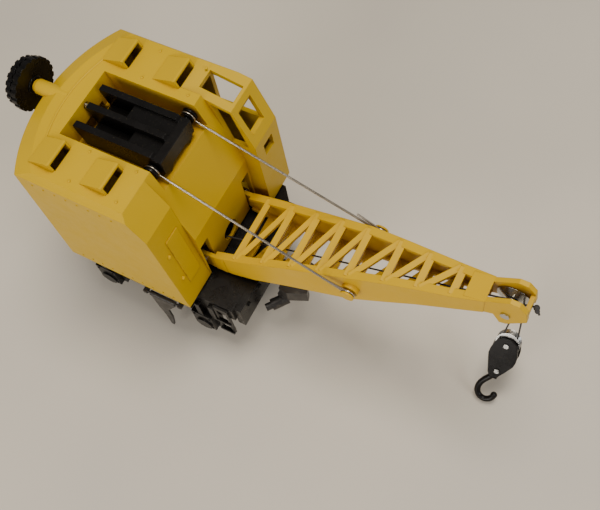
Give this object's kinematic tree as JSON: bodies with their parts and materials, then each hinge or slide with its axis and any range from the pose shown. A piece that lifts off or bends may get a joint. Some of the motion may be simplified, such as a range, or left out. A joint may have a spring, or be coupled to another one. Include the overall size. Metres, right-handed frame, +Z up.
{
  "type": "toy railway crane",
  "caption": "Toy four-wheel railway crane with a slewing cab, a laced boom held by two stay wires, and a hook block on a cord.",
  "frame": {"origin": "under the slewing centre, on the plane that the wheel flanges and the hook stand on", "axes": "+X forward along the boom, +Y to the left, +Z up"},
  "size_m": [0.1977, 0.0726, 0.1056],
  "materials": {
    "yellow_plastic": "satin moulded plastic",
    "boom_plastic": "satin moulded plastic",
    "black_plastic": "semi-gloss moulded plastic",
    "blackened_metal": "blackened casting",
    "bright_steel": "bright plated turning",
    "spring_wire": "bare spring wire",
    "cord": "waxed thread"
  },
  "bodies": {
    "chassis": {"chassis_frame": "black_plastic", "end_beam_front": "black_plastic", "end_beam_rear": "black_plastic", "corner_step_front_right": "black_plastic", "corner_step_rear_left": "black_plastic", "coupler_pin_front": "bright_steel", "coupler_pin_rear": "bright_steel", "trip_bracket": "blackened_metal", "centre_pin": "bright_steel"},
    "wheelset_front": {"axle_front": "bright_steel", "wheel_front_left": "blackened_metal", "wheel_front_right": "blackened_metal"},
    "wheelset_rear": {"axle_rear": "bright_steel", "wheel_rear_left": "blackened_metal", "wheel_rear_right": "blackened_metal"},
    "coupler_front_body": {"coupler_front": "blackened_metal", "knuckle_pin_front": "bright_steel"},
    "coupler_rear_body": {"coupler_rear": "blackened_metal", "knuckle_pin_rear": "bright_steel"},
    "knuckle_front_body": {"knuckle_front": "blackened_metal"},
    "knuckle_rear_body": {"knuckle_rear": "blackened_metal"},
    "trip_lever_body": {"trip_lever": "blackened_metal"},
    "cab": {"cab_floor": "yellow_plastic", "cab_shell": "yellow_plastic", "boom_pin": "bright_steel"},
    "screw": {"lift_screw": "bright_steel", "hand_wheel": "black_plastic"},
    "carriage_body": {"carriage": "black_plastic", "crossbar": "black_plastic"},
    "boom_body": {"boom": "boom_plastic", "tip_axle": "bright_steel", "hoist_cord": "cord", "fall_cord": "cord", "cord_knot": "cord"},
    "stays": {"stay_wire_left": "spring_wire", "stay_wire_right": "spring_wire"},
    "tip_pulley_body": {"tip_pulley": "bright_steel"},
    "drum": {"hoist_drum": "black_plastic", "hoist_shaft": "bright_steel", "hoist_knob": "black_plastic"},
    "hook_block": {"block_plate_upper": "black_plastic", "block_plate_lower": "black_plastic", "block_pin": "bright_steel", "hook_rivet": "bright_steel"},
    "sheave": {"block_sheave": "bright_steel"},
    "hook_body": {"hook": "black_plastic"}
  },
  "joints": [
    {"name": "cab_slew", "type": "hinge", "parent": "chassis", "child": "cab", "pos_m": [0, 0, 0.036], "axis": [0, 0, 1], "continuous": true},
    {"name": "front_axle_roll", "type": "hinge", "parent": "chassis", "child": "wheelset_front", "pos_m": [0.023, 0, 0.0124], "axis": [0, 1, 0], "continuous": true},
    {"name": "rear_axle_roll", "type": "hinge", "parent": "chassis", "child": "wheelset_rear", "pos_m": [-0.023, 0, 0.0124], "axis": [0, 1, 0], "continuous": true},
    {"name": "front_coupler_swing", "type": "hinge", "parent": "chassis", "child": "coupler_front_body", "pos_m": [0.036, 0, 0.0246], "axis": [0, 0, 1], "range_deg": [-10, 10]},
    {"name": "rear_coupler_swing", "type": "hinge", "parent": "chassis", "child": "coupler_rear_body", "pos_m": [-0.036, 0, 0.0246], "axis": [0, 0, 1], "range_deg": [-10, 10]},
    {"name": "front_knuckle", "type": "hinge", "parent": "coupler_front_body", "child": "knuckle_front_body", "pos_m": [0.0502, 0.0042, 0.0246], "axis": [0, 0, 1], "range_deg": [0, 35]},
    {"name": "rear_knuckle", "type": "hinge", "parent": "coupler_rear_body", "child": "knuckle_rear_body", "pos_m": [-0.0502, -0.0042, 0.0246], "axis": [0, 0, 1], "range_deg": [0, 35]},
    {"name": "trip_lever_swing", "type": "hinge", "parent": "chassis", "child": "trip_lever_body", "pos_m": [0.011, -0.0334, 0.0326], "axis": [-1, 0, 0], "range_deg": [-4, 40]},
    {"name": "boom_luff", "type": "hinge", "parent": "cab", "child": "boom_body", "pos_m": [0.021, 0, 0.041], "axis": [0, -1, 0], "range_deg": [-6, 1], "deforming": ["hoist_cord"]},
    {"name": "carriage_slide", "type": "slide", "parent": "cab", "child": "carriage_body", "axis": [1, 0, 0], "range_m": [-0.001, 0.0053]},
    {"name": "hand_wheel_turn", "type": "hinge", "parent": "cab", "child": "screw", "pos_m": [-0.047, 0, 0.0956], "axis": [1, 0, 0], "range_deg": [-380, 70]},
    {"name": "stay_pivot", "type": "hinge", "parent": "boom_body", "child": "stays", "pos_m": [0.0804, 0, 0.0626], "axis": [0, -1, 0], "range_deg": [-0.2, 0.8]},
    {"name": "hoist", "type": "slide", "parent": "boom_body", "child": "hook_block", "axis": [0.0376, -0.1573, 0.9868], "range_m": [0, 0.042], "deforming": ["fall_cord"]},
    {"name": "tip_pulley_turn", "type": "hinge", "parent": "boom_body", "child": "tip_pulley_body", "pos_m": [0.1301, 0, 0.079], "axis": [0, -1, 0], "range_deg": [-10, 2300]},
    {"name": "drum_turn", "type": "hinge", "parent": "cab", "child": "drum", "pos_m": [0.016, 0, 0.03895], "axis": [0, 1, 0], "range_deg": [-10, 2700]},
    {"name": "sheave_turn", "type": "hinge", "parent": "hook_block", "child": "sheave", "pos_m": [0.1312, 0.0092, 0.0223], "axis": [0, 0.766, -0.6428], "range_deg": [-10, 1100]},
    {"name": "hook_swing", "type": "hinge", "parent": "hook_block", "child": "hook_body", "pos_m": [0.1312, 0.00213, 0.01387], "axis": [0, -0.766, 0.6428], "range_deg": [-12, 12]}
  ],
  "couplings": [
    {"joint": "carriage_slide", "follows": "boom_luff", "m_per_rad": -0.0478},
    {"joint": "hand_wheel_turn", "follows": "boom_luff", "ratio": 60.1},
    {"joint": "stay_pivot", "follows": "boom_luff", "ratio": -0.12},
    {"joint": "tip_pulley_turn", "follows": "hoist", "rad_per_m": 909},
    {"joint": "drum_turn", "follows": "hoist", "rad_per_m": 1052},
    {"joint": "sheave_turn", "follows": "hoist", "rad_per_m": 400}
  ]
}
